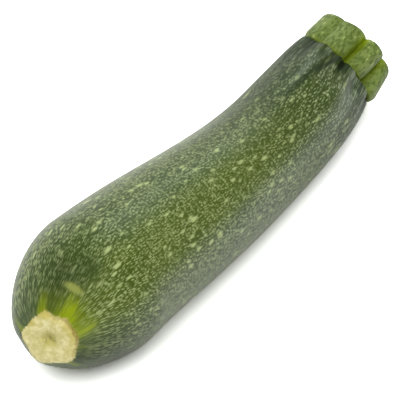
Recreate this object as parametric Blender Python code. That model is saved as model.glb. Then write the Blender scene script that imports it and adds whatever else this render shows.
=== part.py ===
"""A courgette lying on its side.

Two pieces: the fruit, which is flesh, skin and blossom scar grown as one, and
the short lobed stub of stem that it was cut off with. The blossom end is at -X,
the stem end at +X, and the fruit rests on a narrow flat strip at Z = 0.
All lengths are in metres and all angles in degrees. Round the fruit, 0 is the
+Y side, 90 is the top, 180 is the -Y side and 270 is the underside.
"""

import math

import bmesh
import bpy
import numpy as np
from mathutils import Matrix, Vector

# The fruit, measured along X from the blossom scar to the foot of the stem.
FRUIT_LENGTH = 0.1788
SCAR_AT = -0.090
# Where the centre line lies at even shares of the length, blossom end first.
CENTRE_SIDEWAYS = (0.00234, 0.00373, 0.0, -0.00058, 0.00234)
CENTRE_HEIGHTS = (0.02321, 0.02256, 0.01897, 0.01890)
# Radii of the body at even shares of the length, before the dome rounds it off.
BODY_RADII = (0.03020, 0.02450, 0.02264, 0.02024, 0.01914, 0.01678)
# The dome at the blossom end: its share of the length, and how square it is.
DOME_SHARE = 0.179
DOME_POWER = 1.623
# Soft ribs along the body: angle at the scar, angle at the stem, height and
# half width. They rise and die away over these shares of the length.
RIBS = (
    (114.0, 96.0, 0.00035, 13.0),
    (165.0, 137.0, 0.00040, 13.0),
    (235.0, 222.0, 0.00030, 16.0),
    (308.0, 306.0, 0.00030, 16.0),
    (30.0, 42.0, 0.00030, 16.0),
)
RIB_RISE_SHARE = 0.14
RIB_FALL_SHARE = 0.20
# The strip it rests on: everything lower than this is level with the floor.
REST_HEIGHT = 0.0

# The blossom scar, a corky disc at the tip that faces slightly up and sideways.
SCAR_RADIUS = 0.0095
SCAR_FACING = (0.970, 0.228, -0.082)
SCAR_LEAN_SHARE = 0.13
SCAR_CORNERS = 5
SCAR_CORNER_HEIGHT = 0.0005
SCAR_CORNER_TURN = 74.0
SCAR_CORNER_SHARE = 0.05
# Rings of the scar's face: share of its radius, and how far it stands out.
SCAR_FACE = (
    (0.965, 0.00025),
    (0.88, 0.00045),
    (0.66, 0.00050),
    (0.42, 0.00030),
    (0.24, -0.00010),
    (0.10, -0.00070),
)
SCAR_PIT = -0.0011

# The shoulder that the stem stands on.
STEM_FACING = (0.889, -0.246, 0.387)
STEM_LEAN_SHARE = 0.22
# Rings past the last section: share of its radius, and distance towards the stem.
SHOULDER = (
    (0.985, 0.0006),
    (0.945, 0.0011),
    (0.880, 0.0014),
    (0.600, 0.0015),
)
# Folds that run into the stem: angle, height (a crease is below 0), half width
# in degrees, and the share of the length over which the fold dies away.
FOLDS = (
    (54.0, 0.0008, 10.0, 0.16),
    (76.0, -0.0010, 6.5, 0.10),
    (97.0, 0.0013, 6.5, 0.25),
    (111.0, -0.0015, 6.5, 0.16),
    (120.5, 0.0005, 3.5, 0.05),
    (128.0, -0.0019, 4.0, 0.06),
    (139.0, 0.0011, 8.0, 0.23),
    (157.0, -0.0016, 5.5, 0.09),
    (178.0, 0.0008, 9.0, 0.16),
    (200.0, -0.0012, 6.5, 0.11),
    (221.0, 0.0008, 9.0, 0.17),
    (243.0, -0.0012, 6.5, 0.10),
    (264.0, 0.0007, 9.0, 0.16),
    (287.0, -0.0012, 6.5, 0.12),
    (309.0, 0.0009, 9.0, 0.18),
    (331.0, -0.0012, 6.5, 0.10),
    (356.0, 0.0008, 10.0, 0.15),
    (23.0, -0.0012, 7.0, 0.11),
)

# The stub of stem.
STEM_LENGTH = 0.0129
STEM_GAP = 0.0003
# The cut slopes a little: rise for each metre across, towards this angle.
CUT_SLOPE = 0.04
CUT_SLOPE_TURN = 170.0
# Its lobes: angle of the crest, radius there at the foot and at the top, radius
# of the groove after it, and how square the lobe is.
STEM_LOBES = (
    (46.0, 0.0175, 0.0172, 0.0142, 2.4),
    (107.0, 0.0154, 0.0151, 0.0101, 1.6),
    (149.0, 0.0160, 0.0157, 0.0102, 2.0),
    (208.0, 0.0183, 0.0152, 0.0118, 3.2),
    (262.0, 0.0180, 0.0156, 0.0114, 2.2),
    (308.0, 0.0172, 0.0154, 0.0120, 2.0),
    (354.0, 0.0173, 0.0160, 0.0132, 2.2),
)
LOBE_ROUNDNESS = 0.7
# Rings up the stub: share of its length, and share of its radius.
STEM_PROFILE = (
    (0.0, 0.925),
    (0.04, 0.955),
    (0.10, 0.980),
    (0.20, 1.000),
    (0.38, 1.003),
    (0.58, 1.002),
    (0.76, 1.000),
    (0.87, 0.995),
    (0.94, 0.975),
    (0.98, 0.945),
    (1.0, 0.900),
)
# The cut face: share of the radius, and how far it dips.
CUT_FACE = ((0.86, 0.0), (0.62, -0.0002), (0.34, -0.0004), (0.14, -0.0009))
CUT_PITH = -0.0012

# Points round each ring, rings along the body, and how much closer together
# the rings are at the two ends.
SEGMENTS = 84
BODY_RINGS = 40
RING_CROWDING = 0.11

FRUIT_COLOUR = (0.070, 0.125, 0.030, 1.0)
FRUIT_ROUGHNESS = 0.42
STEM_COLOUR = (0.190, 0.300, 0.055, 1.0)
STEM_ROUGHNESS = 0.50


def curve_through(values, share):
    """Height at a share of the way along a smooth curve through even steps."""
    steps = np.linspace(0.0, 1.0, len(values))
    return np.polyval(np.polyfit(steps, values, len(values) - 1), share)


def smooth_step(x):
    x = min(max(x, 0.0), 1.0)
    return x * x * (3.0 - 2.0 * x)


def unit(vector):
    return np.asarray(vector) / np.linalg.norm(vector)


def centre_at(share):
    x = SCAR_AT + share * FRUIT_LENGTH
    return np.array([x, curve_through(CENTRE_SIDEWAYS, share), curve_through(CENTRE_HEIGHTS, share)])


def centre_direction(share):
    return unit(centre_at(share + 1e-4) - centre_at(share - 1e-4))


def section_axes(share):
    """The normal of the section there, and its sideways and upward axes.

    The sections stand square to the centre line in the middle of the fruit and
    lean towards the scar's and the stem's own directions at its two ends.
    """
    to_scar = 1.0 - smooth_step(share / SCAR_LEAN_SHARE)
    to_stem = smooth_step((share - 1.0 + STEM_LEAN_SHARE) / STEM_LEAN_SHARE)
    normal = centre_direction(share)
    normal = normal + to_scar * (unit(SCAR_FACING) - centre_direction(0.0))
    normal = normal + to_stem * (unit(STEM_FACING) - centre_direction(1.0))
    normal = unit(normal)
    sideways = unit(np.cross((0.0, 0.0, 1.0), normal))
    return normal, sideways, np.cross(normal, sideways)


def round_radius(share):
    """The radius before ribs and folds, rounded off to the scar at the tip."""
    at_tip = SCAR_RADIUS / BODY_RADII[0]
    reach = (1.0 - at_tip**DOME_POWER) ** (1.0 / DOME_POWER)
    inward = reach * min(max(1.0 - share / DOME_SHARE, 0.0), 1.0)
    return curve_through(BODY_RADII, share) * (1.0 - inward**DOME_POWER) ** (1.0 / DOME_POWER)


def angle_between(a, b):
    """The signed difference of two angles, from -180 to 180."""
    return (a - b + 180.0) % 360.0 - 180.0


def ridge(angle, crest, half_width):
    """A smooth ridge, 1 at its crest and 0 well away from it."""
    across = angle_between(angle, crest) / half_width
    return math.exp(-across * across)


def relief(share, angle):
    """Height of the ribs, the scar's corners and the folds over the round radius."""
    along = smooth_step(share / RIB_RISE_SHARE) * smooth_step((1.0 - share) / RIB_FALL_SHARE)
    near_scar = 1.0 - smooth_step(share / SCAR_CORNER_SHARE)
    corner = math.cos(math.radians(SCAR_CORNERS * (angle - SCAR_CORNER_TURN)))
    height = SCAR_CORNER_HEIGHT * near_scar * corner
    for at_scar, at_stem, rib_height, half_width in RIBS:
        crest = at_scar + share * (at_stem - at_scar)
        height += rib_height * along * ridge(angle, crest, half_width)
    for crest, fold_height, half_width, length in FOLDS:
        near_stem = smooth_step(1.0 - (1.0 - share) / length)
        height += fold_height * near_stem * ridge(angle, crest, half_width)
    return height


def ring(centre, axes, radii, lift=0.0):
    """Points round a section: one radius for each even step of angle."""
    normal, sideways, upward = axes
    points = []
    for angle, radius in zip(step_angles(), radii):
        turn = math.radians(angle)
        spoke = math.cos(turn) * sideways + math.sin(turn) * upward
        points.append(centre + lift * normal + radius * spoke)
    return points


def step_angles():
    return [360.0 * step / SEGMENTS for step in range(SEGMENTS)]


def body_shares():
    """Shares of the length for the rings, closer together towards both ends."""
    even = np.linspace(0.0, 1.0, BODY_RINGS)
    return even - RING_CROWDING * np.sin(2.0 * np.pi * even)


def fruit_radii(share):
    return [round_radius(share) + relief(share, angle) for angle in step_angles()]


def fruit_rings():
    """Every ring of the fruit from the scar's pit to the middle of the shoulder."""
    rings = []
    tip_axes = section_axes(0.0)
    tip_radii = fruit_radii(0.0)
    for radius_share, outward in reversed(SCAR_FACE):
        radii = [radius_share * radius for radius in tip_radii]
        rings.append(ring(centre_at(0.0), tip_axes, radii, -outward))
    for share in body_shares():
        rings.append(ring(centre_at(share), section_axes(share), fruit_radii(share)))
    end_radii = fruit_radii(1.0)
    for radius_share, onward in SHOULDER:
        radii = [radius_share * radius for radius in end_radii]
        rings.append(ring(centre_at(1.0), section_axes(1.0), radii, onward))
    return rings


def lobe_radius(angle, up):
    """Radius of the stub's outline, a share of the way up from its foot.

    Each lobe is rounded, and meets the next one in a sharp groove.
    """
    count = len(STEM_LOBES)
    for index, (crest, at_foot, at_top, groove_after, power) in enumerate(STEM_LOBES):
        before = STEM_LOBES[index - 1]
        after = STEM_LOBES[(index + 1) % count]
        away = angle_between(angle, crest)
        reach = abs(angle_between((after if away >= 0.0 else before)[0], crest)) / 2.0
        if abs(away) <= reach:
            groove = groove_after if away >= 0.0 else before[3]
            bulge = (1.0 - (abs(away) / reach) ** power) ** LOBE_ROUNDNESS
            return groove + (at_foot + (at_top - at_foot) * up - groove) * bulge
    raise ValueError(f"no lobe covers {angle} degrees")


def stem_ring(up, share, height):
    """A ring of the stub about its own Z axis, at a share of its outline's size."""
    points = []
    for angle in step_angles():
        radius = share * lobe_radius(angle, up)
        turn = math.radians(angle)
        rise = up * CUT_SLOPE * radius * math.cos(turn - math.radians(CUT_SLOPE_TURN))
        points.append((radius * math.cos(turn), radius * math.sin(turn), height + rise))
    return points


def stem_rings():
    """Every ring of the stub from its foot to the middle of the cut face."""
    rings = [stem_ring(0.0, 0.5, 0.0)]
    for up, share in STEM_PROFILE:
        rings.append(stem_ring(up, share, up * STEM_LENGTH))
    for share, dip in CUT_FACE:
        rings.append(stem_ring(1.0, share, STEM_LENGTH + dip))
    return rings


def join_rings(name, rings, first_point, last_point):
    """A closed mesh object that skins the rings and fans to a point at each end."""
    mesh = bmesh.new()
    start = mesh.verts.new(first_point)
    loops = [[mesh.verts.new(point) for point in points] for points in rings]
    end = mesh.verts.new(last_point)
    for step in range(SEGMENTS):
        after = (step + 1) % SEGMENTS
        mesh.faces.new((start, loops[0][after], loops[0][step]))
        for inner, outer in zip(loops, loops[1:]):
            mesh.faces.new((inner[step], inner[after], outer[after], outer[step]))
        mesh.faces.new((end, loops[-1][step], loops[-1][after]))
    data = bpy.data.meshes.new(name)
    mesh.to_mesh(data)
    mesh.free()
    data.shade_smooth()
    made = bpy.data.objects.new(name, data)
    bpy.context.scene.collection.objects.link(made)
    return made


def lay_flat(points):
    """The points with everything under the rest height brought up to it."""
    return [np.array([x, y, max(z, REST_HEIGHT)]) for x, y, z in points]


def build_fruit():
    normal = section_axes(0.0)[0]
    pit = centre_at(0.0) - SCAR_PIT * normal
    middle = centre_at(1.0) + SHOULDER[-1][1] * section_axes(1.0)[0]
    rings = [lay_flat(points) for points in fruit_rings()]
    return join_rings("fruit", rings, pit, middle)


def build_stem():
    """The stub, made standing on the floor and then set on the fruit's shoulder."""
    stem = join_rings("stem", stem_rings(), (0.0, 0.0, 0.0), (0.0, 0.0, STEM_LENGTH + CUT_PITH))
    normal, sideways, upward = section_axes(1.0)
    foot = centre_at(1.0) + (SHOULDER[-1][1] + STEM_GAP) * normal
    turn = Matrix((sideways, upward, normal)).transposed().to_4x4()
    stem.matrix_world = Matrix.Translation(foot) @ turn
    return stem


def paint(part, name, colour, roughness):
    material = bpy.data.materials.new(name)
    material.use_nodes = True
    shader = material.node_tree.nodes["Principled BSDF"]
    shader.inputs["Base Color"].default_value = colour
    shader.inputs["Roughness"].default_value = roughness
    shader.inputs["Metallic"].default_value = 0.0
    part.data.materials.append(material)


def centre_footprint(parts):
    """Move the parts so that the origin is the middle of the footprint."""
    bpy.context.view_layer.update()
    points = [part.matrix_world @ vertex.co for part in parts for vertex in part.data.vertices]
    middle_x = (min(p.x for p in points) + max(p.x for p in points)) / 2.0
    middle_y = (min(p.y for p in points) + max(p.y for p in points)) / 2.0
    for part in parts:
        part.location -= Vector((middle_x, middle_y, 0.0))


def main():
    for old in list(bpy.data.objects):
        bpy.data.objects.remove(old, do_unlink=True)
    fruit = build_fruit()
    stem = build_stem()
    paint(fruit, "fruit_skin", FRUIT_COLOUR, FRUIT_ROUGHNESS)
    paint(stem, "stem_skin", STEM_COLOUR, STEM_ROUGHNESS)
    centre_footprint((fruit, stem))


main()
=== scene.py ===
"""A courgette lying on a pale surface: its skin, its blossom scar and its cut stem.

The fruit and the stem are each bent from a grid by a Geometry Nodes tree, and
both are finished with node materials that follow the surface. Lengths are in
metres, and the angles in the tables are in degrees. Round the fruit, 0 is the
+Y side, 90 is the top, 180 is the -Y side and 270 is the underside.
"""

import math

import bpy
import numpy as np
from mathutils import Matrix, Vector


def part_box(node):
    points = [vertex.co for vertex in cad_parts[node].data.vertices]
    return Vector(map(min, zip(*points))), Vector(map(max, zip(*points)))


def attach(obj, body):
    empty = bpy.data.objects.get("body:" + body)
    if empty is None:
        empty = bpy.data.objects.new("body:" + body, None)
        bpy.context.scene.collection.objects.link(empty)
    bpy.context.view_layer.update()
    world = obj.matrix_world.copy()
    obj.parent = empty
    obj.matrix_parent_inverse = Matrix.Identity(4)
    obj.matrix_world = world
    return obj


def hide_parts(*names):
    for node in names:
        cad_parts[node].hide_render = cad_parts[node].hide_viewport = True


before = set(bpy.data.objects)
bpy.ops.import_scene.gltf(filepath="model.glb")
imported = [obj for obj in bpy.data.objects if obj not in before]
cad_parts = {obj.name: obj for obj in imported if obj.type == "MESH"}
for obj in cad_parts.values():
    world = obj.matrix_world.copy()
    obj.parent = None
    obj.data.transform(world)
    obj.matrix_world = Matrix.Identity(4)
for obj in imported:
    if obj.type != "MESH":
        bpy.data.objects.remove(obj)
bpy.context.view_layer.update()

bl_info = {
    "name": "Courgette",
    "version": (1, 0, 0),
    "blender": (4, 5, 0),
    "location": "View3D > Sidebar > Courgette",
    "description": "Builds a courgette with a speckled skin, a corky scar and a cut stem",
    "category": "Add Mesh",
}

BODY = "root"

FULL_TURN = 2.0 * math.pi
BAKE_MAP = "OFBake"
# The finer surfaces lie this far inside the solids that they stand for.
INSET = 0.00005
MERGE_DISTANCE = 1e-6

# --- the fruit ---------------------------------------------------------------
SCAR_AT = -0.090
CENTRE_SIDEWAYS = (0.00234, 0.00373, 0.0, -0.00058, 0.00234)
CENTRE_HEIGHTS = (0.02321, 0.02256, 0.01897, 0.01890)
BODY_RADII = (0.03020, 0.02450, 0.02264, 0.02024, 0.01914, 0.01678)
DOME_SHARE = 0.179
DOME_POWER = 1.623
SCAR_RADIUS = 0.0095
SCAR_FACING = (0.970, 0.228, -0.082)
SCAR_LEAN_SHARE = 0.13
SCAR_CORNERS = 5
SCAR_CORNER_TURN = 74.0
SCAR_CORNER_SHARE = 0.05
SCAR_LIFT = 0.0005
SCAR_LIFT_POWER = 12.0
PIT_DEPTH = 0.0016
PIT_SHARE = 0.26
STEM_FACING = (0.889, -0.246, 0.387)
STEM_LEAN_SHARE = 0.22
SHOULDER_RISE = 0.0015
SHOULDER_EDGE = 0.12
# Five soft ribs: angle at the scar, angle at the stem, height and half width.
RIBS = (
    (114.0, 96.0, 0.00035, 13.0),
    (165.0, 137.0, 0.00040, 13.0),
    (235.0, 222.0, 0.00030, 16.0),
    (308.0, 306.0, 0.00030, 16.0),
    (30.0, 42.0, 0.00030, 16.0),
)
RIB_RISE_SHARE = 0.14
RIB_FALL_SHARE = 0.20
# Folds that run into the stem: angle, height (a crease is below 0), half width
# in degrees, and the share of the length over which the fold dies away.
FOLDS = (
    (54.0, 0.0008, 10.0, 0.16),
    (76.0, -0.0010, 6.5, 0.10),
    (97.0, 0.0013, 6.5, 0.25),
    (111.0, -0.0015, 6.5, 0.16),
    (120.5, 0.0005, 3.5, 0.05),
    (128.0, -0.0019, 4.0, 0.06),
    (139.0, 0.0011, 8.0, 0.23),
    (157.0, -0.0016, 5.5, 0.09),
    (178.0, 0.0008, 9.0, 0.16),
    (200.0, -0.0012, 6.5, 0.11),
    (221.0, 0.0008, 9.0, 0.17),
    (243.0, -0.0012, 6.5, 0.10),
    (264.0, 0.0007, 9.0, 0.16),
    (287.0, -0.0012, 6.5, 0.12),
    (309.0, 0.0009, 9.0, 0.18),
    (331.0, -0.0012, 6.5, 0.10),
    (356.0, 0.0008, 10.0, 0.15),
    (23.0, -0.0012, 7.0, 0.11),
)
# How the grid's rows are shared out between the scar's face, the body and the
# shoulder under the stem, and how much closer the body's rings are at its ends.
FACE_ROWS = 0.11
SHOULDER_ROWS = 0.05
RING_CROWDING = 0.10
SEAM_TURN = 0.75 * FULL_TURN
# The skin's pattern is laid out as if the fruit were a straight rod this thick.
ROD_RADIUS = 0.024
FURROW_WIDTH = 0.0015
WRINKLED_FROM = 0.62
WRINKLED_FULLY = 0.95
SWELL_SIZE = 0.011
CORK_LUMP = 0.0011

# --- the stem ----------------------------------------------------------------
STEM_GAP = 0.0003
CUT_SLOPE = 0.04
CUT_SLOPE_TURN = 170.0
# Its lobes: angle of the crest, radius there at the foot and at the top, radius
# of the groove after it, and how square the lobe is.
STEM_LOBES = (
    (46.0, 0.0175, 0.0172, 0.0142, 2.4),
    (107.0, 0.0154, 0.0151, 0.0101, 1.6),
    (149.0, 0.0160, 0.0157, 0.0102, 2.0),
    (208.0, 0.0183, 0.0152, 0.0118, 3.2),
    (262.0, 0.0180, 0.0156, 0.0114, 2.2),
    (308.0, 0.0172, 0.0154, 0.0120, 2.0),
    (354.0, 0.0173, 0.0160, 0.0132, 2.2),
)
LOBE_ROUNDNESS = 0.7
# How the stub's grid is shared out between its foot, its wall and its cut face.
FOOT_ROWS = 0.06
CUT_ROWS = 0.34
STEM_RADIUS = 0.0155
GROOVE_BLEND = 18.0
# It is tucked in at the foot and rounded off at the top: share of the radius,
# share of the length over which that happens, and how late it sets in.
FOOT_TUCK = 0.075
FOOT_TUCK_SHARE = 0.2
FOOT_TUCK_POWER = 2.2
TOP_ROUND = 0.10
TOP_ROUND_SHARE = 0.25
TOP_ROUND_POWER = 4.0
FOOT_SINK = 0.0005
PITH_DIP = 0.0012
PITH_SHARE = 0.45
FLUTE_WIDTH = 0.0016
CUT_GRAIN = 0.0014

# --- the stage ---------------------------------------------------------------
FLOOR_AT = -0.0001
FLOOR_BLOTCH = 0.12
KEY_AT = (0.73, 0.33, 0.77)
OVERHEAD_AT = (-0.45, -0.30, 1.15)
BACK_AT = (0.38, 0.62, 0.38)
KEY_WIDTH = 0.5
OVERHEAD_WIDTH = 1.2
BACK_WIDTH = 0.6
# The surround grows brighter towards this side.
BRIGHT_SIDE = (0.30, 0.80, -0.50)
CAMERA_AIM = (-0.01460, -0.00507, 0.025)
CAMERA_AZIMUTH = -57.71
CAMERA_ELEVATION = 38.29
CAMERA_DISTANCE = 0.7987
SENSOR_WIDTH = 36.0

# --- the blossom end's colouring ---------------------------------------------
# Yellow-green rays from the scar: angle at the foot and at the tip, half width
# in degrees, length and strength.
RAYS = (
    (121.0, 112.0, 18.0, 0.0084, 1.0),
    (158.0, 150.0, 11.0, 0.0080, 1.0),
    (76.0, 76.0, 11.0, 0.0056, 0.95),
    (185.0, 185.0, 10.0, 0.0030, 0.5),
    (228.0, 226.0, 8.0, 0.0055, 0.8),
    (300.0, 302.0, 9.0, 0.0065, 0.8),
    (12.0, 14.0, 7.0, 0.0045, 0.8),
)
RAY_TAPER = 7.0
RAY_FRAY = 0.003
# How far the cork runs out over the skin, or stops short of its edge: angle,
# distance and half width.
CORK_EDGE = (
    (84.0, 0.0008, 10.0),
    (118.0, 0.0010, 20.0),
    (172.0, 0.0007, 24.0),
    (300.0, 0.0010, 16.0),
    (20.0, -0.0009, 38.0),
)
# Where the cork's rim is browned, and where it is only yellowed: angle and half
# width.
BROWNED = (150.0, 42.0)
YELLOWED = ((82.0, 14.0), (44.0, 14.0))
CORK_FRAY = 0.0012
FRAY_SIZE = 0.0026
CORK_MOTTLE = 0.0024
CORK_CRUMB = 0.0008

# --- the skin's pattern ------------------------------------------------------
# How much the pattern is drawn out along the fruit: the lower, the longer. It
# is drawn out more near the ends, over these distances, and shrinks in girth.
GRAIN_FLOW = 0.34
SPOT_FLOW = 0.57
SCAR_STRETCH = 0.50
SCAR_STRETCH_REACH = 0.026
STEM_STRETCH = 0.84
STEM_STRETCH_REACH = 0.075
GIRTH_LOSS = 0.28
WOBBLE = 0.0002
WOBBLE_SIZE = 0.0009
GRAIN_UNEVENNESS = 0.8
PATCH_SIZE = 0.010
STREAK_SIZE = 0.0040
SKIN_BUMP = 0.00008
# Flecks: distance between them, their smallest and largest reach as a share of
# it, and the share of places that have one.
SMALL_SPOTS = (0.0027, 0.16, 0.34, 0.9)
LARGE_SPOTS = (0.0042, 0.14, 0.26, 0.85)
# Painted shade: where the skin is painted darker, on the underside at both ends, on top beside
# the stem and on the upper +Y side towards the stem end: angle and half width in degrees, the
# shares of the length where that begins and where it is full, and strength.
PAINTED_SHADE_PATCHES = (
    (218.0, 26.0, 0.24, 0.08, 0.65),
    (208.0, 24.0, 0.72, 0.94, 0.45),
    (120.0, 40.0, 0.84, 0.97, 0.22),
    (52.0, 22.0, 0.72, 0.88, 0.20),
)

# --- the stem's pattern ------------------------------------------------------
STEM_MOTTLE = 0.0010
STEM_STREAK = 0.0014
STEM_BUMP = 0.00015
FLESH_MOTTLE = 0.002
STEM_FLECKS = (0.0018, 0.14, 0.40, 0.9)
FLESH_BUNDLES = (0.0030, 0.12, 0.26, 0.8)


class Wire:
    """One output of a node. A sum written on it adds the node that works it out."""

    def __init__(self, graph, socket):
        self.graph = graph
        self.socket = socket

    def of(self, name):
        """Another output of the same node."""
        return Wire(self.graph, pick(self.socket.node.outputs, name))

    def __add__(self, other):
        return self.graph.sum("ADD", self, other)

    def __radd__(self, other):
        return self.graph.sum("ADD", other, self)

    def __sub__(self, other):
        return self.graph.sum("SUBTRACT", self, other)

    def __rsub__(self, other):
        return self.graph.sum("SUBTRACT", other, self)

    def __mul__(self, other):
        return self.graph.sum("MULTIPLY", self, other)

    def __rmul__(self, other):
        return self.graph.sum("MULTIPLY", other, self)

    def __truediv__(self, other):
        return self.graph.sum("DIVIDE", self, other)

    def __rtruediv__(self, other):
        return self.graph.sum("DIVIDE", other, self)

    def __pow__(self, other):
        return self.graph.sum("POWER", self, other)

    def __neg__(self):
        return self.graph.sum("MULTIPLY", self, -1.0)


class Graph:
    """Builds one node tree, for a shape or for a material."""

    def __init__(self, tree):
        self.tree = tree

    def node(self, kind, settings=None, sockets=None, output=0):
        """Adds a node: its settings first, then the values or links of its sockets."""
        made = self.add(kind, settings, sockets)
        return Wire(self, pick(made.outputs, output))

    def add(self, kind, settings=None, sockets=None):
        """The same for a node that nothing follows, such as a tree's output."""
        made = self.tree.nodes.new(kind)
        for name, value in (settings or {}).items():
            setattr(made, name, value)
        for name, value in (sockets or {}).items():
            self.feed(pick(made.inputs, name), value)
        return made

    def feed(self, socket, value):
        if isinstance(value, Wire):
            self.tree.links.new(value.socket, socket)
        elif is_vector(value) or not hasattr(socket.default_value, "__len__"):
            socket.default_value = value
        elif not isinstance(value, str):
            socket.default_value = (value,) * len(socket.default_value)
        else:
            socket.default_value = value

    def sum(self, operation, *values):
        """A Math node, or a Vector Math node where one of the values is a vector."""
        kind = "ShaderNodeVectorMath" if any(map(is_vector, values)) else "ShaderNodeMath"
        return self.node(kind, {"operation": operation}, dict(enumerate(values)))

    def vector(self, x, y, z):
        return self.node("ShaderNodeCombineXYZ", sockets={"X": x, "Y": y, "Z": z})

    def parts(self, vector):
        x = self.node("ShaderNodeSeparateXYZ", sockets={"Vector": vector})
        return x, x.of("Y"), x.of("Z")


def pick(sockets, name):
    """The socket in use that has this name or number."""
    in_use = [socket for socket in sockets if socket.enabled]
    if isinstance(name, int):
        return in_use[name]
    return next(socket for socket in in_use if socket.name == name)


def is_vector(value):
    if isinstance(value, Wire):
        return value.socket.type == "VECTOR"
    return isinstance(value, (tuple, Vector))


def sine(x):
    return x.graph.sum("SINE", x)


def cosine(x):
    return x.graph.sum("COSINE", x)


def exponential(x):
    return x.graph.sum("EXPONENT", x)


def absolute(x):
    return x.graph.sum("ABSOLUTE", x)


def larger(x, y):
    return x.graph.sum("MAXIMUM", x, y)


def above(x, limit):
    """1 where x is over the limit, and 0 elsewhere."""
    return x.graph.sum("GREATER_THAN", x, limit)


def clamp(x):
    return x.graph.node("ShaderNodeClamp", sockets={"Value": x})


def fade(x, low, high):
    """Rises smoothly from 0 where x is low to 1 where it is high."""
    settings = {"interpolation_type": "SMOOTHSTEP"}
    return x.graph.node("ShaderNodeMapRange", settings, {"Value": x, "From Min": low, "From Max": high})


def blob(x, middle, half_width):
    """A smooth bump, 1 at its middle and nearly 0 at twice its half width."""
    return exponential(-(((x - middle) / half_width) ** 2.0))


def mix(factor, first, second):
    """The first colour where the factor is 0, and the second where it is 1."""
    sockets = {"Factor": factor, "A": first, "B": second}
    return factor.graph.node("ShaderNodeMix", {"data_type": "RGBA"}, sockets)


def unit(vector):
    return vector.graph.sum("NORMALIZE", vector)


def cross(first, second):
    return second.graph.sum("CROSS_PRODUCT", first, second)


def noise(place, size, detail=2.0, roughness=0.5, output=0):
    """Soft noise round 0.5, with blotches of about this size."""
    sockets = {"Vector": place, "Scale": 1.0 / size, "Detail": detail, "Roughness": roughness}
    return place.graph.node("ShaderNodeTexNoise", None, sockets, output)


def cells(place, size, unevenness=1.0):
    """Cells of about this size: the distance within each, and a colour for each."""
    sockets = {"Vector": place, "Scale": 1.0 / size, "Randomness": unevenness}
    return place.graph.node("ShaderNodeTexVoronoi", None, sockets)


def curve_terms(values):
    """The terms, highest power first, of a smooth curve through even steps."""
    steps = np.linspace(0.0, 1.0, len(values))
    return np.polyfit(steps, values, len(values) - 1)


def curve_height(terms, share):
    """The height of a curve at a share of the way along, for a number or a wire."""
    height = float(terms[0])
    for term in terms[1:]:
        height = height * share + float(term)
    return height


# --- shapes ------------------------------------------------------------------
def form_tree(name, sizes):
    """A new tree with an input for each size, and its graph and Group Input."""
    tree = bpy.data.node_groups.new(name, "GeometryNodeTree")
    for label, kind in sizes:
        tree.interface.new_socket(name=label, in_out="INPUT", socket_type=kind)
    tree.interface.new_socket(name="Form", in_out="OUTPUT", socket_type="NodeSocketGeometry")
    graph = Graph(tree)
    return graph, graph.node("NodeGroupInput")


def unit_grid(graph, sizes):
    """A grid for the form to be bent from, and how far down and round it each point is."""
    rings, segments = sizes.of("Rings"), sizes.of("Segments")
    sockets = {"Size X": 1.0, "Size Y": 1.0, "Vertices X": rings, "Vertices Y": segments}
    grid = graph.node("GeometryNodeMeshGrid", sockets=sockets)
    row, column, _ = graph.parts(graph.node("GeometryNodeInputPosition"))
    return grid, row + 0.5, (column + 0.5) * FULL_TURN + SEAM_TURN


def finish_form(graph, sizes, grid, place, marks):
    """Bends the grid into place, closes its seam and poles, and keeps its marks."""
    kept = graph.node(
        "GeometryNodeStoreNamedAttribute",
        {"data_type": "FLOAT2", "domain": "CORNER"},
        {"Geometry": grid, "Name": BAKE_MAP, "Value": grid.of("UV Map")},
    )
    for name, mark in marks.items():
        kept = graph.node(
            "GeometryNodeStoreNamedAttribute",
            {"data_type": "FLOAT_VECTOR" if is_vector(mark) else "FLOAT", "domain": "POINT"},
            {"Geometry": kept, "Name": name, "Value": mark},
        )
    bent = graph.node("GeometryNodeSetPosition", sockets={"Geometry": kept, "Position": place})
    merging = {"Geometry": bent, "Distance": MERGE_DISTANCE}
    closed = graph.node("GeometryNodeMergeByDistance", sockets=merging)
    smooth = graph.node("GeometryNodeSetShadeSmooth", sockets={"Geometry": closed})
    real = graph.node("GeometryNodeRealizeInstances", sockets={"Geometry": smooth})
    finished = graph.node(
        "GeometryNodeSetMaterial", sockets={"Geometry": real, "Material": sizes.of("Material")}
    )
    graph.add("NodeGroupOutput", sockets={"Form": finished})


def heading(graph, length, share):
    """Which way the centre line runs at a share of the fruit's length."""
    sideways = curve_height(np.polyder(curve_terms(CENTRE_SIDEWAYS)), share)
    upward = curve_height(np.polyder(curve_terms(CENTRE_HEIGHTS)), share)
    return unit(graph.vector(length, sideways, upward))


def section_axes(graph, length, share):
    """The normal of the section there, and its sideways and upward axes."""
    to_scar = 1.0 - fade(share, 0.0, SCAR_LEAN_SHARE)
    to_stem = fade(share, 1.0 - STEM_LEAN_SHARE, 1.0)
    scar_lean = tuple(Vector(SCAR_FACING).normalized()) - heading(graph, length, 0.0)
    stem_lean = tuple(Vector(STEM_FACING).normalized()) - heading(graph, length, 1.0)
    normal = unit(heading(graph, length, share) + to_scar * scar_lean + to_stem * stem_lean)
    sideways = unit(cross((0.0, 0.0, 1.0), normal))
    return normal, sideways, cross(normal, sideways)


def round_radius(share):
    """The radius before ribs and folds, rounded off to the scar at the tip."""
    reach = (1.0 - (SCAR_RADIUS / BODY_RADII[0]) ** DOME_POWER) ** (1.0 / DOME_POWER)
    inward = reach * clamp(1.0 - share / DOME_SHARE)
    body = curve_height(curve_terms(BODY_RADII), share)
    return body * (1.0 - inward**DOME_POWER) ** (1.0 / DOME_POWER)


def ridge(turn, angle, half_width):
    """A smooth ridge along the fruit, 1 at its crest and 0 well away from it."""
    return exponential((cosine(turn - angle) - 1.0) * (2.0 / math.radians(half_width) ** 2))


def fold_relief(sizes, share, turn):
    height = 0.0
    for angle, rise, half_width, reach in FOLDS:
        strength = fade(share, 1.0 - reach, 1.0) * rise
        height = height + ridge(turn, math.radians(angle), half_width) * strength
    return height * sizes.of("Fold Height")


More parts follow.
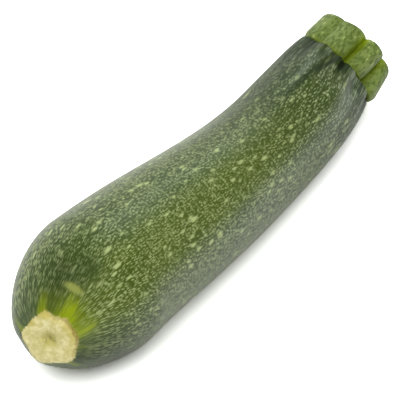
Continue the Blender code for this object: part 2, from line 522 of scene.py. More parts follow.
def rib_relief(sizes, share, turn):
    height = 0.0
    for at_scar, at_stem, rise, half_width in RIBS:
        angle = math.radians(at_scar) + share * math.radians(at_stem - at_scar)
        height = height + ridge(turn, angle, half_width) * rise
    mid_body = fade(share, 0.0, RIB_RISE_SHARE) * (1.0 - fade(share, 1.0 - RIB_FALL_SHARE, 1.0))
    return height * mid_body * sizes.of("Rib Height")


def furrows(rod):
    """Fine lines along the fruit: about 0.5, lower in a furrow and higher beside it."""
    return noise(rod * (0.09, 1.0, 1.0), FURROW_WIDTH)


def fine_relief(sizes, share, turn, rod):
    """The scar's corners, a slow swell over the body and wrinkles near the stem."""
    corner = cosine((turn - math.radians(SCAR_CORNER_TURN)) * SCAR_CORNERS)
    corners = corner * (1.0 - fade(share, 0.0, SCAR_CORNER_SHARE)) * sizes.of("Scar Corners")
    swell = (noise(rod * (0.20, 1.0, 1.0), SWELL_SIZE) - 0.6) * sizes.of("Swell")
    wrinkle = (furrows(rod) - 0.5) * sizes.of("Wrinkle Height")
    return corners + swell + wrinkle * fade(share, WRINKLED_FROM, WRINKLED_FULLY)


def fruit_form():
    """The tree that sweeps the fruit's sections from the scar's pit to the shoulder."""
    graph, sizes = form_tree(
        "courgette fruit",
        (
            ("Length", "NodeSocketFloat"),
            ("Rib Height", "NodeSocketFloat"),
            ("Fold Height", "NodeSocketFloat"),
            ("Scar Corners", "NodeSocketFloat"),
            ("Scar Relief", "NodeSocketFloat"),
            ("Swell", "NodeSocketFloat"),
            ("Wrinkle Height", "NodeSocketFloat"),
            ("Rings", "NodeSocketInt"),
            ("Segments", "NodeSocketInt"),
            ("Material", "NodeSocketMaterial"),
        ),
    )
    grid, row, turn = unit_grid(graph, sizes)
    face = clamp(row / FACE_ROWS)
    even = clamp((row - FACE_ROWS) / (1.0 - FACE_ROWS - SHOULDER_ROWS))
    inward = clamp((row - 1.0 + SHOULDER_ROWS) / SHOULDER_ROWS) ** 2.0
    share = even - sine(even * FULL_TURN) * RING_CROWDING
    length = sizes.of("Length")
    along = share * length - (1.0 - face) * SCAR_RADIUS
    rod = graph.vector(along, cosine(turn) * ROD_RADIUS, sine(turn) * ROD_RADIUS)
    sideways_at = curve_height(curve_terms(CENTRE_SIDEWAYS), share)
    upward_at = curve_height(curve_terms(CENTRE_HEIGHTS), share)
    centre = graph.vector(length * share + SCAR_AT, sideways_at, upward_at)
    normal, sideways, upward = section_axes(graph, length, share)
    spoke = sideways * cosine(turn) + upward * sine(turn)
    folds = fold_relief(sizes, share, turn)
    radius = round_radius(share) + rib_relief(sizes, share, turn) + folds
    radius = radius + fine_relief(sizes, share, turn, rod) - INSET
    level = centre + spoke * (radius * face * (1.0 - inward))
    cork = (noise(level, CORK_LUMP, 3.0, 0.6) - 0.5) * (1.0 - face**8.0) * sizes.of("Scar Relief")
    pit = exponential(-((face / PIT_SHARE) ** 2.0)) * PIT_DEPTH
    outward = (1.0 - face**SCAR_LIFT_POWER) * (SCAR_LIFT - INSET) - pit + cork
    edge = clamp(1.0 - inward / SHOULDER_EDGE)
    onward = (1.0 - edge**2.0) ** 0.5 * (SHOULDER_RISE - INSET)
    x, y, z = graph.parts(level + normal * (onward - outward))
    place = graph.vector(x, y, larger(z, 0.0))
    finish_form(graph, sizes, grid, place, {"rod": rod, "fold": folds})
    return graph.tree


def stem_radius(graph, sizes, turn, up):
    """A ring through the grooves, with a rounded lobe standing out between each two."""
    total = 0.0
    weights = 0.0
    count = len(STEM_LOBES)
    halves = [(STEM_LOBES[(i + 1) % count][0] - STEM_LOBES[i][0]) % 360.0 / 2.0 for i in range(count)]
    for (crest, _, _, groove, _), half in zip(STEM_LOBES, halves):
        weight = ridge(turn, math.radians(crest + half), GROOVE_BLEND)
        total = total + weight * groove
        weights = weights + weight
    level = total / weights
    radius = level
    for index, (crest, at_foot, at_top, _, power) in enumerate(STEM_LOBES):
        away = graph.sum("WRAP", turn - math.radians(crest), math.pi, -math.pi)
        before = math.radians(halves[index - 1])
        after = math.radians(halves[index])
        reach = above(away, 0.0) * (after - before) + before
        bulge = clamp(1.0 - (absolute(away) / reach) ** power) ** LOBE_ROUNDNESS
        radius = radius + (up * (at_top - at_foot) + at_foot - level) * bulge * sizes.of("Lobe Depth")
    return radius


def stem_form():
    """The tree that turns the lobed stub, standing on its foot at the origin."""
    graph, sizes = form_tree(
        "courgette stem",
        (
            ("Length", "NodeSocketFloat"),
            ("Lobe Depth", "NodeSocketFloat"),
            ("Flute Depth", "NodeSocketFloat"),
            ("Cut Relief", "NodeSocketFloat"),
            ("Rings", "NodeSocketInt"),
            ("Segments", "NodeSocketInt"),
            ("Material", "NodeSocketMaterial"),
        ),
    )
    grid, row, turn = unit_grid(graph, sizes)
    length = sizes.of("Length")
    foot = clamp(row / FOOT_ROWS)
    up = clamp((row - FOOT_ROWS) / (1.0 - FOOT_ROWS - CUT_ROWS))
    across = clamp((row - 1.0 + CUT_ROWS) / CUT_ROWS)
    radius = stem_radius(graph, sizes, turn, up)
    onward = up * length + across * STEM_RADIUS
    rod = graph.vector(onward, cosine(turn) * STEM_RADIUS, sine(turn) * STEM_RADIUS)
    tuck = clamp(1.0 - up / FOOT_TUCK_SHARE) ** FOOT_TUCK_POWER * FOOT_TUCK
    rounding = clamp((up - 1.0 + TOP_ROUND_SHARE) / TOP_ROUND_SHARE) ** TOP_ROUND_POWER * TOP_ROUND
    flute = (noise(rod * (0.08, 1.0, 1.0), FLUTE_WIDTH) - 0.8) * sizes.of("Flute Depth")
    outline = (radius + flute - INSET) * (1.0 - tuck - rounding)
    reach = outline * foot * (1.0 - across)
    slope = cosine(turn - math.radians(CUT_SLOPE_TURN)) * reach * up * CUT_SLOPE
    dip = blob(1.0 - across, 0.0, PITH_SHARE) * above(across, 0.0) * PITH_DIP
    x = cosine(turn) * reach
    y = sine(turn) * reach
    grain = (noise(graph.vector(x, y, 0.0), CUT_GRAIN, 3.0, 0.6) - 0.5) * fade(across, 0.0, 0.15)
    sunk = (1.0 - fade(up, 0.0, 0.1)) * FOOT_SINK
    height = up * (length - INSET) + slope - dip - sunk - INSET + grain * sizes.of("Cut Relief")
    finish_form(graph, sizes, grid, graph.vector(x, y, height), {"rod": rod, "radius": radius})
    return graph.tree


def made_piece(name, tree, values):
    """Runs a form's tree with these inputs, and makes a plain mesh object of it."""
    holder = bpy.data.objects.new(name + "_holder", bpy.data.meshes.new(name + "_holder"))
    bpy.context.scene.collection.objects.link(holder)
    modifier = holder.modifiers.new("form", "NODES")
    modifier.node_group = tree
    for item in tree.interface.items_tree:
        if item.in_out == "INPUT":
            modifier[item.identifier] = values[item.name]
    graph = bpy.context.evaluated_depsgraph_get()
    mesh = bpy.data.meshes.new_from_object(
        holder.evaluated_get(graph), preserve_all_data_layers=True, depsgraph=graph
    )
    bpy.data.objects.remove(holder, do_unlink=True)
    mesh.name = name
    piece = bpy.data.objects.new(name, mesh)
    bpy.context.scene.collection.objects.link(piece)
    return piece


def settle_on(piece, node, end):
    """Slides the piece over the floor onto the node.

    Sideways they share their middle, and lengthways this share of their boxes.
    """
    low, high = (np.array(corner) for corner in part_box(node))
    points = np.array([vertex.co for vertex in piece.data.vertices])
    at = np.array([end, 0.5, 0.0])
    shift = low + (high - low) * at - points.min(axis=0) - np.ptp(points, axis=0) * at
    piece.data.transform(Matrix.Translation((shift[0], shift[1], 0.0)))


def stand_for(piece, node):
    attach(piece, BODY)
    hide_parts(node)


# --- finishes ----------------------------------------------------------------
def new_material(name):
    material = bpy.data.materials.new(name)
    material.use_nodes = True
    material.node_tree.nodes.clear()
    return material, Graph(material.node_tree)


def finish_material(graph, sockets):
    """A Principled BSDF with these values or links, as the material's surface."""
    surface = graph.node("ShaderNodeBsdfPrincipled", None, sockets, "BSDF")
    graph.add("ShaderNodeOutputMaterial", sockets={"Surface": surface})


def attribute(graph, name, output):
    return graph.node("ShaderNodeAttribute", {"attribute_name": name}, output=output)


def bump(graph, height, depth):
    return graph.node("ShaderNodeBump", None, {"Height": height, "Distance": depth, "Strength": 1.0})


def colour(rgb):
    return (*rgb, 1.0)


def flecks(pattern, size, small, large, presence):
    """Round flecks of varied size: one in each cell that is bright enough to have it."""
    cell = cells(pattern, size)
    chance, spread, _ = pattern.graph.parts(cell.of("Color"))
    reach = spread * (large - small) + small
    return (1.0 - fade(cell / reach, 0.3, 1.0)) * above(chance, 1.0 - presence)


class Skin:
    """Where a point of the skin lies, and the shading that its colours share."""

    def __init__(self, graph, length):
        self.graph = graph
        self.length = length
        self.rod = attribute(graph, "rod", "Vector")
        self.along, self.y, self.z = graph.parts(self.rod)
        self.turn = graph.sum("ARCTAN2", self.z, self.y)
        self.share = self.along / length
        self.patch = noise(self.rod * (0.4, 1.0, 1.0), PATCH_SIZE, 3.0)
        self.furrow = furrows(self.rod)
        self.far = fade(self.share, 0.45, 0.75) * self.ridge(92.0, 75.0)
        self.near_stem = fade(self.share, 0.66, 0.96)
        self.tip_top = blob(self.share, 0.05, 0.07) * self.ridge(92.0, 26.0)
        self.in_rows = (self.near_stem * 0.32 + 0.38) * (1.0 - fade(self.furrow, 0.38, 0.56))

    def ridge(self, angle, half_width):
        """A soft straight stripe along the fruit, in degrees."""
        return ridge(self.turn, math.radians(angle), half_width)

    def band(self, at_scar, at_stem, half_width):
        """A soft stripe that turns from its angle at the scar to that at the stem."""
        angle = self.share * math.radians(at_stem - at_scar) + math.radians(at_scar)
        return ridge(self.turn, angle, half_width)

    def pattern(self, flow):
        """Where the flecks lie: drawn out along the fruit, most of all at its ends."""
        at_scar = exponential(self.along / -SCAR_STRETCH_REACH) * (SCAR_STRETCH * SCAR_STRETCH_REACH)
        from_stem = self.along - self.length
        at_stem = exponential(from_stem / STEM_STRETCH_REACH) * (STEM_STRETCH * STEM_STRETCH_REACH)
        girth = 1.0 - fade(self.along / self.length, 0.25, 0.90) * GIRTH_LOSS
        onward = (self.along + at_scar - at_stem) * flow
        place = self.graph.vector(onward, self.y * girth, self.z * girth)
        return place + (noise(place, WOBBLE_SIZE, 1.0, 0.5, "Color") - (0.5, 0.5, 0.5)) * WOBBLE


def fine_grain(skin, look):
    """How deep in a fine pale fleck a point is, from 0 to about 1."""
    cell = cells(skin.pattern(GRAIN_FLOW), look.grain_size, GRAIN_UNEVENNESS)
    shade, _, _ = skin.graph.parts(cell.of("Color"))
    lit = fade(shade, skin.far * 0.2 - 0.30, skin.far * 0.2 + 0.60)
    streak = noise(skin.rod * (0.10, 1.0, 1.0), STREAK_SIZE, 3.0, 0.6)
    grain = (1.0 - fade(cell, 0.22, 0.56)) * lit * (1.0 - skin.in_rows) * 1.42
    grain = grain * (fade(streak, 0.30, 0.62) * 0.3 + 0.7)
    return grain * (fade(skin.along, 0.0, 0.007) * 0.65 + 0.35)


def green_ground(skin, look):
    """The green between the flecks: warm in a band along the upper -Y side, on top of the tip and in
    random patches, deep elsewhere, and darker over the top towards the stem end.
    """
    warm_band = fade(skin.band(139.0, 118.0, 26.0), 0.05, 0.75)
    warmth = clamp(warm_band * 0.8 + skin.patch * 1.6 - 0.75 + skin.tip_top * 0.6)
    ground = mix(warmth, colour(look.deep_green), colour(look.warm_green))
    return mix(skin.far * 0.36, ground, colour(look.shade_green))


def pale_spots(skin):
    """The larger spots, which keep off the skin right beside the scar."""
    loose = skin.pattern(SPOT_FLOW)
    large = flecks(loose, *LARGE_SPOTS) * fade(skin.along, 0.004, 0.022)
    return clamp(flecks(loose, *SMALL_SPOTS) * 0.80 + large * 0.95) * fade(skin.along, 0.002, 0.010)


def painted_sheen_bands(skin):
    """Two patchy bands of painted sheen along the body, lighter grey-green where the lights'
    reflections fall.
    """
    share = skin.share
    upper = skin.band(106.0, 99.0, 13.0) * fade(share, 0.08, 0.22) * (1.0 - fade(share, 0.5, 0.8))
    lower = skin.band(186.0, 152.0, 17.0) * fade(share, 0.0, 0.2) * (fade(share, 0.3, 0.5) * 0.6 + 0.8)
    return clamp((upper + lower) * (skin.patch + 0.2))


def painted_shade_and_darkening(skin):
    """How much darker the skin is in places: painted shade in the furrows near the stem, on the
    upper +Y side where the lights' sheen falls and in the table's patches, and a plain darkening
    over the top towards the stem end and on top of the tip.
    """
    # Painted shade in a band on the upper +Y side towards the stem end, added to a plain darkening over
    # the top there.
    dark = skin.far * (skin.band(54.0, 64.0, 24.0) * 0.46 + 0.10)
    # Painted shade in the furrows near the stem, and a plain darkening on top of the tip.
    dark = dark + skin.in_rows * skin.near_stem * 0.52 + skin.tip_top * 0.66
    # Painted shade on the upper +Y side in mid-body.
    dark = dark + blob(skin.share, 0.54, 0.13) * skin.ridge(70.0, 10.0) * 0.22
    # Painted shade in the table's patches.
    for angle, half_width, begins, full, strength in PAINTED_SHADE_PATCHES:
        dark = dark + fade(skin.share, begins, full) * skin.ridge(angle, half_width) * strength
    return dark


def shoulder_shade_and_highlights(skin):
    """Painted shade along each valley, in a pit under the stem's foot and along the edge where the
    fruit meets the stem, and painted highlights along two crests that run into the stem.
    """
    share, turn = skin.share, skin.turn
    into_stem = clamp((share - 0.8) / 0.2) ** 2.0
    # Painted shade along a valley that bends towards the stem.
    valley = ridge(turn, into_stem * math.radians(20.0) + math.radians(100.0), 4.0)
    valley = valley * (fade(share, 0.66, 0.82) * 0.56 + fade(share, 0.93, 0.99) * 0.42)
    # Painted shade in a pit under the stem's foot and along the edge where the fruit meets the stem.
    pit = skin.ridge(132.0, 5.0) * fade(share, 0.95, 0.985) * 0.8
    edge = skin.ridge(166.0, 3.0) * fade(share, 0.965, 0.985) * 0.7
    # Painted highlights along two crests.
    upper = ridge(turn, into_stem * math.radians(11.0) + math.radians(94.0), 3.5) * 0.46
    lower = ridge(turn, math.radians(158.0) - (share - 0.83) * math.radians(55.0), 8.0) * 0.34
    return valley + pit + edge, (upper + lower) * fade(share, 0.74, 0.86)


def green_skin(skin, look, grain):
    """The green skin with its flecks and spots, painted sheen and painted highlights, and darker places
    that are mostly painted shade.
    """
    # Painted sheen and painted highlights are mixed towards this lighter grey-green.
    painted_sheen = colour(look.painted_sheen_colour)
    fine = mix(skin.near_stem * 0.8, colour(look.grain_colour), colour(look.stem_grain))
    shown = mix(clamp(grain), green_ground(skin, look), fine)
    shown = mix(pale_spots(skin), shown, colour(look.spot_colour))
    # Painted sheen in two bands along the body.
    shown = mix(painted_sheen_bands(skin) * (grain * 0.20 + 0.15), shown, painted_sheen)
    valley_shade, ridges = shoulder_shade_and_highlights(skin)
    # Painted highlights along the crests that run into the stem.
    shown = mix(ridges * (grain * 0.7 + 0.6), shown, painted_sheen)
    # Painted shade: darkened towards the deepest green in the patches, furrows, pits and along each
    # valley.
    return mix(clamp(painted_shade_and_darkening(skin) + valley_shade), shown, colour(look.shade_green))


def ray_mask(along, turn):
    """Yellow-green rays that narrow away from the scar."""
    mask = 0.0
    for at_foot, at_tip, half_width, length, strength in RAYS:
        out = clamp(along / length)
        angle = out * math.radians(at_tip - at_foot) + math.radians(at_foot)
        spread = (cosine(turn - angle) - 1.0) * (2.0 / math.radians(half_width) ** 2)
        ray = exponential(spread * (out * RAY_TAPER + 1.0)) * (1.0 - fade(out, 0.15, 1.0))
        mask = mask + ray * strength
    return clamp(mask)


def scar_surround(skin, look, shown, grain, fray):
    """The rays round the scar and, above it, a bruise and a healed scratch."""
    frayed = skin.along + fray * RAY_FRAY
    halo = (1.0 - fade(frayed, 0.0, 0.0085)) * skin.ridge(128.0, 36.0)
    rays = ray_mask(frayed, skin.turn) * (grain * 0.3 + 0.8) + halo * 0.5
    rays = rays * (fade(skin.furrow, 0.34, 0.60) * 0.40 + 0.74)
    shown = mix(clamp(rays) * 0.94, shown, colour(look.ray_colour))
    bruise = blob(skin.along, 0.0150, 0.0046) * skin.ridge(112.0, 9.0)
    shown = mix(bruise * 0.8, shown, colour(look.deep_green))
    scratch = blob(skin.along + fray * 0.0005, 0.0074, 0.0012) * skin.ridge(108.0, 12.0)
    return mix(fade(scratch, 0.10, 0.85) * 0.68, shown, colour(look.scratch_colour))


def fold_shade_and_sheen(skin, look, shown, grain):
    """Painted shade in the creases between the folds at the stem, and painted sheen along their crests.
    """
    fold = attribute(skin.graph, "fold", "Fac")
    shallow = skin.ridge(109.0, 7.0) * 0.6 + skin.ridge(156.0, 7.0) * 0.8
    # Painted shade in the creases.
    crease = fade(-fold, 0.0002, 0.0011) * fade(skin.share, 0.94, 0.99) * (1.0 - shallow)
    shown = mix(crease * 0.95, shown, colour(look.crease_shade_colour))
    # Painted sheen along the folds' crests.
    painted_sheen = fade(fold, 0.0003, 0.0011) * (grain * 0.22) * (1.0 - fade(skin.share, 0.90, 0.97) * 0.6)
    return mix(painted_sheen, shown, colour(look.painted_sheen_colour))


def skin_material(look, length):
    material, graph = new_material("courgette skin")
    skin = Skin(graph, length)
    grain = fine_grain(skin, look)
    fray = noise(skin.rod, FRAY_SIZE, 2.0, 0.5) - 0.5
    green = scar_surround(skin, look, green_skin(skin, look, grain), grain, fray)
    green = fold_shade_and_sheen(skin, look, green, grain)
    reach = cork_reach(skin.turn)
    on_scar = 1.0 - fade(skin.along - reach + fray * CORK_FRAY, -0.0004, 0.0002)
    cork = cork_colour(graph, look, skin.along - larger(reach, 0.0), skin.turn)
    dull = fade(skin.share, 0.5, 0.8) * 0.16
    finish_material(
        graph,
        {
            "Base Color": mix(on_scar, green, cork),
            "Roughness": on_scar * 0.40 + 0.32 - grain * 0.04 + dull,
            "Normal": bump(graph, grain * 0.6 + on_scar * noise(skin.rod, 0.0009, 3.0, 0.6), SKIN_BUMP),
            "Specular IOR Level": 0.42,
        },
    )
    return material


def cork_reach(turn):
    """How far the cork runs out over the skin, or stops short on the scar's face."""
    reach = 0.0
    for angle, out, half_width in CORK_EDGE:
        reach = reach + ridge(turn, math.radians(angle), half_width) * out
    return reach


def cork_colour(graph, look, along, turn):
    """The scar: cream cork, a tan rim on one side and a greenish pitted middle."""
    place = graph.node("ShaderNodeTexCoord", output="Object")
    mottle = noise(place, CORK_MOTTLE, 3.0, 0.6)
    crumb = noise(place, CORK_CRUMB, 2.0, 0.6)
    cork = mix(fade(mottle, 0.35, 0.65), colour(look.cork_colour), colour(look.cork_shade))
    from_middle = (along + SCAR_RADIUS) / SCAR_RADIUS
    middle = 1.0 - fade(from_middle + (mottle - 0.5) * 0.6, 0.14, 0.46)
    cork = mix(middle * (fade(crumb, 0.42, 0.58) * 0.65 + 0.25), cork, colour(look.pit_colour))
    cleft = (1.0 - fade(from_middle, 0.10, 0.34)) * (1.0 - fade(crumb, 0.38, 0.50))
    cork = mix(cleft * 0.8, cork, colour(look.cleft_colour))
    rim = fade(from_middle + (mottle - 0.5) * 0.40, 0.56, 0.88)
    browned = ridge(turn, math.radians(BROWNED[0]), BROWNED[1])
    yellowed = browned
    for angle, half_width in YELLOWED:
        yellowed = yellowed + ridge(turn, math.radians(angle), half_width)
    cork = mix(clamp(rim * yellowed) * 0.85, cork, colour(look.rim_colour))
    edge = fade(from_middle + (mottle - 0.5) * 0.16, 0.88, 0.94)
    edge = clamp(edge * (browned * 0.8 + 0.1)) * (fade(crumb, 0.30, 0.6) * 0.5 + 0.5)
    return mix(edge, cork, colour(look.edge_colour))


def stem_material(look, length):
    material, graph = new_material("courgette stem")
    rod = attribute(graph, "rod", "Vector")
    radius = attribute(graph, "radius", "Fac")
    along, _, _ = graph.parts(rod)
    pattern = rod * (0.55, 1.0, 1.0)
    mottle = fade(noise(pattern, STEM_MOTTLE, 2.0, 0.7), 0.38, 0.60)
    streak = noise(rod * (0.08, 1.0, 1.0), STEM_STREAK, 2.0)
    side = mix(mottle, colour(look.stem_deep), colour(look.stem_light))
    side = mix(flecks(pattern, *STEM_FLECKS) * 0.7, side, colour(look.stem_fleck))
    side = mix(fade(streak, 0.5, 0.72) * 0.25, side, colour(look.stem_light))
    at_foot = 1.0 - fade(along / length, 0.0, 0.12)
    groove = clamp(1.0 - fade(radius, 0.0112, 0.0149) + at_foot * 0.5)
    near_cut = fade(along / length, 0.45, 0.95)
    in_groove = mix(near_cut, colour(look.groove_colour), colour(look.groove_rim))
    side = mix(groove * 0.85, side, in_groove)
    place = graph.node("ShaderNodeTexCoord", output="Object")
    flesh_mottle = noise(place, FLESH_MOTTLE, 3.0, 0.6)
    inward = (along - length) / STEM_RADIUS
    flesh = mix(fade(flesh_mottle, 0.35, 0.65), colour(look.flesh_colour), colour(look.flesh_shade))
    bundles = flecks(rod * (1.0, 0.55, 0.55), *FLESH_BUNDLES) * blob(inward, 0.38, 0.10)
    flesh = mix(bundles * 0.7, flesh, colour(look.bundle_colour))
    pith = fade(inward + (flesh_mottle - 0.5) * 0.2, 0.80, 0.95)
    flesh = mix(pith * 0.8, flesh, colour(look.bundle_colour))
    on_cut = fade(inward, 0.02, 0.06)
    finish_material(
        graph,
        {
            "Base Color": mix(on_cut, side, flesh),
            "Roughness": on_cut * 0.1 + 0.5 - mottle * 0.05,
            "Normal": bump(graph, mottle * 0.4 + streak * 0.6, STEM_BUMP),
            "Specular IOR Level": 0.45,
        },
    )
    return material


def floor_material(look):
    """A matt pale floor, shown over-exposed as a studio sweep is, and most of all far off."""
    material, graph = new_material("pale floor")
    place = graph.node("ShaderNodeTexCoord", output="Object")
    seen = graph.node("ShaderNodeLightPath", output="Is Camera Ray")
    tone = noise(place, FLOOR_BLOTCH, 2.0) * 0.02 + 0.98
    away = graph.node("ShaderNodeVectorMath", {"operation": "LENGTH"}, {0: place}, "Value")
    afar = fade(away, 0.4, 1.6)
    lift = (seen * (afar * look.floor_lift + look.floor_lift - 1.0) + 1.0) * tone
    shown = graph.sum("MULTIPLY", tuple(look.floor_colour), lift)
    surface = graph.node("ShaderNodeBsdfDiffuse", sockets={"Color": shown})
    graph.add("ShaderNodeOutputMaterial", sockets={"Surface": surface})
    return material


# --- settings ----------------------------------------------------------------
def tint(name, description, default):
    return bpy.props.FloatVectorProperty(
        name=name, description=description, default=default, subtype="COLOR", min=0.0, max=1.0
    )


def distance(name, description, default, precision=5):
    return bpy.props.FloatProperty(
        name=name,
        description=description,
        default=default,
        unit="LENGTH",
        min=0.0,
        precision=precision,
    )


def strength_of(name, description):
    """How strong a relief is, where 1 is its full height."""
    return bpy.props.FloatProperty(
        name=name, description=description, default=1.0, min=0.0, subtype="FACTOR"
    )


def how_many(name, description, default, least):
    return bpy.props.IntProperty(name=name, description=description, default=default, min=least)


def watts(name, description, default):
    return bpy.props.FloatProperty(
        name=name, description=description, default=default, min=0.0, unit="POWER"
    )


class CourgetteFruitSettings(bpy.types.PropertyGroup):
    length: distance("Length", "From the blossom scar to the foot of the stem", 0.1788)
    rib_height: strength_of("Rib height", "How strong the soft ribs are")
    fold_height: strength_of("Fold height", "How strong the folds at the stem are")
    scar_corners: distance("Scar corners", "How far the scar's corners stand out", 0.0005)
    scar_relief: distance("Scar relief", "Height of the cork's roughness", 0.0004)
    swell: distance("Swell", "Height of the slow unevenness of the body", 0.0004)
    wrinkle_height: distance("Wrinkle height", "Height of the fine wrinkles at the stem", 0.0006)
    rings: how_many("Rings", "Rings of the fruit's mesh", 262, 40)
    segments: how_many("Segments", "Points in each ring", 361, 24)
    grain_size: distance("Grain size", "Size of the fine flecks", 0.00038)
    deep_green: tint("Deep green", "The skin's darker ground", (0.025, 0.049, 0.003))
    warm_green: tint("Warm green", "The skin's warmer ground", (0.060, 0.091, 0.006))
    # Also the colour that the painted shade darkens towards.
    shade_green: tint("Shade green", "The skin where it is darkest", (0.012, 0.025, 0.004))
    grain_colour: tint("Grain", "The fine flecks", (0.318, 0.385, 0.146))
    stem_grain: tint("Grain at the stem", "The fine flecks near the stem", (0.375, 0.460, 0.265))
    spot_colour: tint("Spots", "The larger pale spots", (0.395, 0.475, 0.190))
    ray_colour: tint("Rays", "The yellow-green rays at the scar", (0.215, 0.275, 0.000))
    scratch_colour: tint("Scratch", "The healed scratch near the scar", (0.280, 0.310, 0.060))
    # Painted shade: the colour of the creases at the stem.
    crease_shade_colour: tint("Creases", "Painted shade in the creases at the stem", (0.005, 0.011, 0.002))
    # Painted sheen: the lighter grey-green of the bands along the body and the crests.
    painted_sheen_colour: tint("Painted sheen", "Painted sheen along the body and on the crests", (0.300, 0.365, 0.270))
    cork_colour: tint("Cork", "The scar's cork", (0.710, 0.655, 0.340))
    cork_shade: tint("Cork shade", "The cork's darker mottling", (0.540, 0.480, 0.190))
    pit_colour: tint("Pit", "The scar's greenish middle", (0.440, 0.400, 0.080))
    cleft_colour: tint("Cleft", "The dark cleft in the scar's middle", (0.200, 0.170, 0.020))
    rim_colour: tint("Rim", "The scar's tan rim", (0.480, 0.410, 0.090))
    edge_colour: tint("Edge", "The scar's brown edge", (0.200, 0.140, 0.022))


class CourgetteStemSettings(bpy.types.PropertyGroup):
    length: distance("Length", "Length of the stub of stem", 0.0129)
    lobe_depth: strength_of("Lobe depth", "How strong the stem's lobes are")
    flute_depth: distance("Flute depth", "Height of the fine lines up the stem", 0.0003)
    cut_relief: distance("Cut relief", "Height of the cut face's roughness", 0.0003)
    rings: how_many("Rings", "Rings of the stem's mesh", 90, 20)
    segments: how_many("Segments", "Points in each ring", 361, 24)
    stem_deep: tint("Stem green", "The stem's darker green", (0.076, 0.118, 0.016))
    stem_light: tint("Stem mottling", "The stem's pale mottling", (0.165, 0.222, 0.052))
    stem_fleck: tint("Stem flecks", "The stem's palest flecks", (0.350, 0.430, 0.130))
    groove_colour: tint("Grooves", "The yellow-green grooves", (0.160, 0.220, 0.003))
    groove_rim: tint("Groove ends", "The grooves beside the cut", (0.280, 0.380, 0.006))
    flesh_colour: tint("Cut flesh", "The cut face", (0.420, 0.500, 0.210))
    flesh_shade: tint("Flesh shade", "The cut face's mottling", (0.330, 0.420, 0.150))
    bundle_colour: tint("Bundles", "The ring of vessels and the pith", (0.560, 0.580, 0.330))


class CourgetteStageSettings(bpy.types.PropertyGroup):
    floor_size: distance("Floor size", "Width of the floor", 6.0, 2)
    floor_colour: tint("Floor", "The pale floor", (0.88, 0.88, 0.88))
    floor_lift: bpy.props.FloatProperty(
        name="Over-exposure", description="How much brighter the floor is shown", default=2.1, min=1.0
    )
    front_strength: bpy.props.FloatProperty(
        name="Room in front", description="Strength of the surround in front", default=0.2, min=0.0
    )
    back_strength: bpy.props.FloatProperty(
        name="Room behind", description="Strength of the surround behind", default=0.9, min=0.0
    )
    overhead_power: watts("Overhead light", "Power of the soft light above", 20.0)
    back_power: watts("Back light", "Power of the low light behind", 3.0)
    key_power: watts("Key light", "Power of the high light behind", 0.3)
    lens: bpy.props.FloatProperty(
        name="Lens", description="Focal length of the camera", default=214.2, min=1.0, unit="CAMERA"
    )


# --- operators ---------------------------------------------------------------
class OBJECT_OT_courgette_fruit(bpy.types.Operator):
    """Add the courgette's fruit: its ribbed body, folds, skin and blossom scar"""

    bl_idname = "object.courgette_fruit"
    bl_label = "Fruit"

    def execute(self, context):
        look = context.scene.courgette_fruit
        values = {
            "Length": look.length,
            "Rib Height": look.rib_height,
            "Fold Height": look.fold_height,
            "Scar Corners": look.scar_corners,
            "Scar Relief": look.scar_relief,
            "Swell": look.swell,
            "Wrinkle Height": look.wrinkle_height,
            "Rings": look.rings,
            "Segments": look.segments,
            "Material": skin_material(look, look.length),
        }
        fruit = made_piece("courgette_fruit", fruit_form(), values)
        settle_on(fruit, "fruit", 0.5)
        stand_for(fruit, "fruit")
        return {"FINISHED"}


class OBJECT_OT_courgette_stem(bpy.types.Operator):
    """Add the courgette's stem: a short lobed stub with a cut face"""

    bl_idname = "object.courgette_stem"
    bl_label = "Stem"

    def execute(self, context):
        look = context.scene.courgette_stem
        values = {
            "Length": look.length,
            "Lobe Depth": look.lobe_depth,
            "Flute Depth": look.flute_depth,
            "Cut Relief": look.cut_relief,
            "Rings": look.rings,
            "Segments": look.segments,
            "Material": stem_material(look, look.length),
        }
        stem = made_piece("courgette_stem", stem_form(), values)
        normal = Vector(STEM_FACING).normalized()
        sideways = Vector((0.0, 0.0, 1.0)).cross(normal).normalized()
        turn = Matrix((sideways, normal.cross(sideways), normal)).transposed().to_4x4()
        shoulder = Vector((0.0, 0.0, CENTRE_HEIGHTS[-1])) + (SHOULDER_RISE + STEM_GAP) * normal
        stem.data.transform(Matrix.Translation(shoulder) @ turn)
        settle_on(stem, "stem", 1.0)
        stand_for(stem, "stem")
        return {"FINISHED"}


class OBJECT_OT_courgette_stage(bpy.types.Operator):
    """Add the pale floor, the soft lights and the camera"""

    bl_idname = "object.courgette_stage"
    bl_label = "Stage"

    def execute(self, context):
        look = context.scene.courgette_stage
        add_floor(look)
        add_lights(look)
        add_camera(look)
        return {"FINISHED"}


def add_floor(look):
    half = look.floor_size / 2.0
    sides = ((-half, -half), (half, -half), (half, half), (-half, half))
    corners = [(x, y, FLOOR_AT) for x, y in sides]
    mesh = bpy.data.meshes.new("floor")
    mesh.from_pydata(corners, [], [(0, 1, 2, 3)])
    mesh.materials.append(floor_material(look))
    floor = bpy.data.objects.new("floor", mesh)
    bpy.context.scene.collection.objects.link(floor)


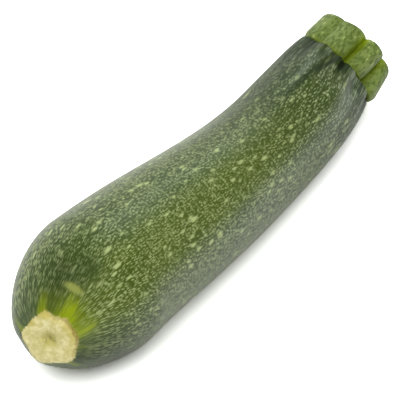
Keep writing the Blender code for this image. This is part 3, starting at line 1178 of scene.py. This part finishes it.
def add_lights(look):
    world = bpy.data.worlds.new("surround")
    world.use_nodes = True
    world.node_tree.nodes.clear()
    graph = Graph(world.node_tree)
    towards = graph.node("ShaderNodeTexCoord", output="Generated")
    away = graph.node(
        "ShaderNodeVectorMath",
        {"operation": "DOT_PRODUCT"},
        {0: towards, 1: BRIGHT_SIDE},
        "Value",
    )
    seen = graph.node("ShaderNodeLightPath", output="Is Camera Ray")
    rise = look.back_strength - look.front_strength
    strength = fade(away, -0.25, 0.75) * rise + look.front_strength
    strength = strength * (1.0 - seen) + seen
    white = (1.0, 1.0, 1.0, 1.0)
    glow = graph.node("ShaderNodeBackground", sockets={"Color": white, "Strength": strength})
    graph.add("ShaderNodeOutputWorld", sockets={"Surface": glow})
    bpy.context.scene.world = world
    bpy.context.scene.view_settings.view_transform = "Standard"
    add_softbox("overhead", OVERHEAD_AT, OVERHEAD_WIDTH, look.overhead_power).visible_glossy = False
    add_softbox("key", KEY_AT, KEY_WIDTH, look.key_power)
    add_softbox("back", BACK_AT, BACK_WIDTH, look.back_power).visible_glossy = False


def add_softbox(name, place, width, power):
    """A square area light that faces the courgette."""
    lamp = bpy.data.lights.new(name, "AREA")
    lamp.shape = "SQUARE"
    lamp.size = width
    lamp.energy = power
    box = bpy.data.objects.new(name, lamp)
    box.location = place
    box.rotation_euler = (-Vector(place)).to_track_quat("-Z", "Y").to_euler()
    bpy.context.scene.collection.objects.link(box)
    return box


def add_camera(look):
    turn = math.radians(CAMERA_AZIMUTH)
    tilt = math.radians(CAMERA_ELEVATION)
    back = Vector((math.sin(turn) * math.cos(tilt), -math.cos(turn) * math.cos(tilt), math.sin(tilt)))
    lens = bpy.data.cameras.new("camera")
    lens.sensor_width = SENSOR_WIDTH
    lens.lens = look.lens
    camera = bpy.data.objects.new("camera", lens)
    camera.location = Vector(CAMERA_AIM) + back * CAMERA_DISTANCE
    camera.rotation_euler = back.to_track_quat("Z", "Y").to_euler()
    bpy.context.scene.collection.objects.link(camera)
    bpy.context.scene.camera = camera


class VIEW3D_PT_courgette(bpy.types.Panel):
    bl_idname = "VIEW3D_PT_courgette"
    bl_label = "Courgette"
    bl_space_type = "VIEW_3D"
    bl_region_type = "UI"
    bl_category = "Courgette"

    def draw(self, context):
        for label, operator, settings in PANEL_ROWS:
            box = self.layout.box()
            box.label(text=label)
            group = getattr(context.scene, settings)
            for name in group.__annotations__:
                box.prop(group, name)
            box.operator(operator)


PANEL_ROWS = (
    ("Fruit", "object.courgette_fruit", "courgette_fruit"),
    ("Stem", "object.courgette_stem", "courgette_stem"),
    ("Stage", "object.courgette_stage", "courgette_stage"),
)
SETTINGS = (
    ("courgette_fruit", CourgetteFruitSettings),
    ("courgette_stem", CourgetteStemSettings),
    ("courgette_stage", CourgetteStageSettings),
)
CLASSES = (
    CourgetteFruitSettings,
    CourgetteStemSettings,
    CourgetteStageSettings,
    OBJECT_OT_courgette_fruit,
    OBJECT_OT_courgette_stem,
    OBJECT_OT_courgette_stage,
    VIEW3D_PT_courgette,
)


def register():
    for kind in CLASSES:
        bpy.utils.register_class(kind)
    for name, kind in SETTINGS:
        setattr(bpy.types.Scene, name, bpy.props.PointerProperty(type=kind))


def unregister():
    for name, _ in SETTINGS:
        delattr(bpy.types.Scene, name)
    for kind in reversed(CLASSES):
        bpy.utils.unregister_class(kind)


def main():
    register()
    bpy.ops.object.courgette_fruit()
    bpy.ops.object.courgette_stem()
    bpy.ops.object.courgette_stage()


if __name__ == "__main__":
    main()
